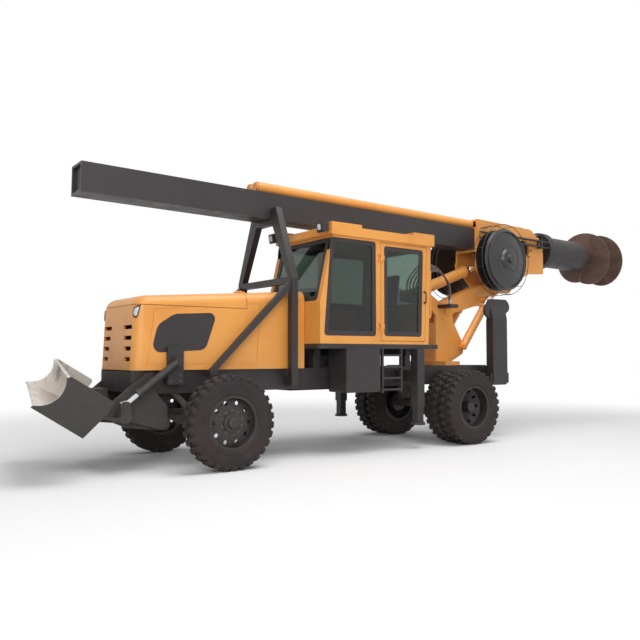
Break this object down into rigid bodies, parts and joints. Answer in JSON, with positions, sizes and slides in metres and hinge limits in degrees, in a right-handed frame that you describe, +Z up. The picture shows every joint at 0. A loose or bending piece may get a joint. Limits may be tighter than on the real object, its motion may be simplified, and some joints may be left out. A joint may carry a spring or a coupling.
{
  "type": "mini rotary piling rig",
  "caption": "Wheeled mini rotary piling rig: bonnet and glazed cab on a truck frame, dozer blade, tilting square mast with rotary drive, auger and hose reels.",
  "frame": {"origin": "on the ground under the middle of the rig's outer box", "axes": "+X forwards along the carrier, towards the dozer blade; +Y to the carrier's left; +Z up"},
  "size_m": [11.2095, 2.1134, 3.5882],
  "materials": {
    "orange_paint": "gloss",
    "black_paint": "satin",
    "grey_paint": "satin",
    "tyre_rubber": "matte",
    "window_glass": "clear",
    "bare_steel": "weathered",
    "chrome_rod": "polished",
    "hose_rubber": "satin",
    "seat_cover": "matte",
    "cast_metal": "rough"
  },
  "bodies": {
    "chassis": {"chassis_frame": "black_paint", "front_axle": "cast_metal", "rear_axle": "cast_metal", "engine_block": "cast_metal", "bonnet_shell": "orange_paint", "bonnet_vents": "black_paint", "cab_shell": "orange_paint", "cab_glass": "window_glass", "cab_roof": "orange_paint", "operator_seat": "seat_cover", "control_console": "black_paint", "cab_platform": "black_paint", "tool_box": "black_paint", "fuel_tank": "black_paint", "oil_tank": "black_paint", "cab_steps": "black_paint", "mast_rest": "black_paint", "turret": "orange_paint", "blade_towers": "black_paint", "jack_sleeves": "black_paint", "outrigger_frame": "black_paint", "cab_fittings": "black_paint", "grab_tube": "orange_paint", "hose_bundle": "hose_rubber"},
    "knuckle_l": {"knuckle_left": "black_paint"},
    "knuckle_r": {"knuckle_right": "black_paint"},
    "front_wheel_l": {"front_tyre_left": "tyre_rubber", "front_rim_left": "black_paint"},
    "front_wheel_r": {"front_tyre_right": "tyre_rubber", "front_rim_right": "black_paint"},
    "rear_wheel_l": {"rear_tyres_left": "tyre_rubber", "rear_rims_left": "black_paint"},
    "rear_wheel_r": {"rear_tyres_right": "tyre_rubber", "rear_rims_right": "black_paint"},
    "hood_lid": {"bonnet_lid": "orange_paint"},
    "door": {"cab_door": "orange_paint", "door_glass": "window_glass"},
    "boom_arm": {"boom": "orange_paint"},
    "lift_tubes": {"lift_barrels": "orange_paint"},
    "lift_bars": {"lift_rods": "chrome_rod"},
    "tilt_tube": {"tilt_barrel": "orange_paint"},
    "tilt_bar": {"tilt_rod": "chrome_rod"},
    "mast_link": {"mast_pin": "bare_steel"},
    "mast": {"mast_tube": "black_paint", "mast_housing": "orange_paint", "crowd_cylinders": "orange_paint", "hose_reels": "black_paint", "mast_hoses": "hose_rubber"},
    "drive": {"kelly_tube": "bare_steel", "rotary_drive": "black_paint", "drive_hoses": "hose_rubber"},
    "auger_tool": {"auger": "bare_steel"},
    "blade": {"dozer_blade": "grey_paint", "blade_arms": "grey_paint"},
    "blade_tubes": {"blade_barrels": "black_paint"},
    "blade_bars": {"blade_rods": "chrome_rod"},
    "jack_l": {"jack_leg_left": "black_paint"},
    "jack_r": {"jack_leg_right": "black_paint"},
    "leg_l": {"outrigger_left": "black_paint"},
    "leg_r": {"outrigger_right": "black_paint"}
  },
  "joints": [
    {"name": "steer_left", "type": "hinge", "parent": "chassis", "child": "knuckle_l", "pos_m": [3.534, 0.69, 0.525], "axis": [0, 0, 1], "range_deg": [-28, 28]},
    {"name": "steer_right", "type": "hinge", "parent": "chassis", "child": "knuckle_r", "pos_m": [3.534, -0.69, 0.525], "axis": [0, 0, 1], "range_deg": [-28, 28]},
    {"name": "front_wheel_left_spin", "type": "hinge", "parent": "knuckle_l", "child": "front_wheel_l", "pos_m": [3.534, 0.94, 0.525], "axis": [0, 1, 0], "continuous": true},
    {"name": "front_wheel_right_spin", "type": "hinge", "parent": "knuckle_r", "child": "front_wheel_r", "pos_m": [3.534, -0.94, 0.525], "axis": [0, 1, 0], "continuous": true},
    {"name": "rear_wheel_left_spin", "type": "hinge", "parent": "chassis", "child": "rear_wheel_l", "pos_m": [-0.366, 0.7875, 0.525], "axis": [0, 1, 0], "continuous": true},
    {"name": "rear_wheel_right_spin", "type": "hinge", "parent": "chassis", "child": "rear_wheel_r", "pos_m": [-0.366, -0.7875, 0.525], "axis": [0, 1, 0], "continuous": true},
    {"name": "bonnet_lid_hinge", "type": "hinge", "parent": "chassis", "child": "hood_lid", "pos_m": [3.081, 0.33, 2.03622], "axis": [0, -1, 0], "range_deg": [0, 45]},
    {"name": "cab_door_hinge", "type": "hinge", "parent": "chassis", "child": "door", "pos_m": [1.242, 0.877, 2], "axis": [0, 0, -1], "range_deg": [0, 95]},
    {"name": "boom_lift", "type": "hinge", "parent": "chassis", "child": "boom_arm", "pos_m": [-0.696, 0, 1.93], "axis": [0, 1, 0], "range_deg": [0, 50]},
    {"name": "lift_cylinder_swing", "type": "hinge", "parent": "chassis", "child": "lift_tubes", "pos_m": [-0.966, 0, 1.4], "axis": [0, 1, 0], "range_deg": [0, 33.49]},
    {"name": "lift_rod_slide", "type": "slide", "parent": "lift_tubes", "child": "lift_bars", "axis": [-0.6196, 0, 0.7849], "range_m": [0, 0.3807]},
    {"name": "mast_level", "type": "hinge", "parent": "boom_arm", "child": "mast_link", "pos_m": [-2.016, 0, 2.42], "axis": [0, 1, 0], "range_deg": [-50, 0]},
    {"name": "mast_tilt", "type": "hinge", "parent": "mast_link", "child": "mast", "pos_m": [-2.016, 0, 2.42], "axis": [0, -1, 0], "range_deg": [0, 90]},
    {"name": "tilt_cylinder_swing", "type": "hinge", "parent": "chassis", "child": "tilt_tube", "pos_m": [-0.133, 0, 2.189], "axis": [0, 1, 0], "range_deg": [0, 50]},
    {"name": "tilt_rod_slide", "type": "slide", "parent": "tilt_tube", "child": "tilt_bar", "axis": [-0.9375, 0, 0.348], "range_m": [0, 0.8765]},
    {"name": "drive_feed", "type": "slide", "parent": "mast", "child": "drive", "axis": [-0.9999, 0, -0.0122], "range_m": [0, 1.7]},
    {"name": "auger_spin", "type": "hinge", "parent": "drive", "child": "auger_tool", "pos_m": [-4.31463, 0, 3.11197], "axis": [-0.9999, 0, -0.0122], "continuous": true},
    {"name": "blade_lift", "type": "hinge", "parent": "chassis", "child": "blade", "pos_m": [4.104, 0, 0.5], "axis": [0, 1, 0], "range_deg": [0, 24]},
    {"name": "blade_cylinder_swing", "type": "hinge", "parent": "chassis", "child": "blade_tubes", "pos_m": [4.014, 0, 1.19], "axis": [0, 1, 0], "range_deg": [0, 9.17]},
    {"name": "blade_rod_slide", "type": "slide", "parent": "blade_tubes", "child": "blade_bars", "axis": [0.7968, 0, -0.6042], "range_m": [0, 0.1908]},
    {"name": "jack_left_slide", "type": "slide", "parent": "chassis", "child": "jack_l", "axis": [0, 0, -1], "range_m": [0, 0.3]},
    {"name": "jack_right_slide", "type": "slide", "parent": "chassis", "child": "jack_r", "axis": [0, 0, -1], "range_m": [0, 0.3]},
    {"name": "outrigger_left_swing", "type": "hinge", "parent": "chassis", "child": "leg_l", "pos_m": [-1.316, 0.64, 0.88], "axis": [-1, 0, 0], "range_deg": [0, 130]},
    {"name": "outrigger_right_swing", "type": "hinge", "parent": "chassis", "child": "leg_r", "pos_m": [-1.316, -0.64, 0.88], "axis": [1, 0, 0], "range_deg": [0, 130]}
  ],
  "couplings": [
    {"joint": "steer_right", "follows": "steer_left", "ratio": 1},
    {"joint": "lift_cylinder_swing", "follows": "boom_lift", "ratio": 0.66968},
    {"joint": "lift_rod_slide", "follows": "boom_lift", "m_per_rad": 0.43625},
    {"joint": "mast_level", "follows": "boom_lift", "ratio": -1},
    {"joint": "tilt_cylinder_swing", "follows": "boom_lift", "ratio": 1},
    {"joint": "tilt_rod_slide", "follows": "mast_tilt", "m_per_rad": 0.55793},
    {"joint": "blade_cylinder_swing", "follows": "blade_lift", "ratio": 0.382},
    {"joint": "blade_rod_slide", "follows": "blade_lift", "m_per_rad": 0.45526}
  ]
}
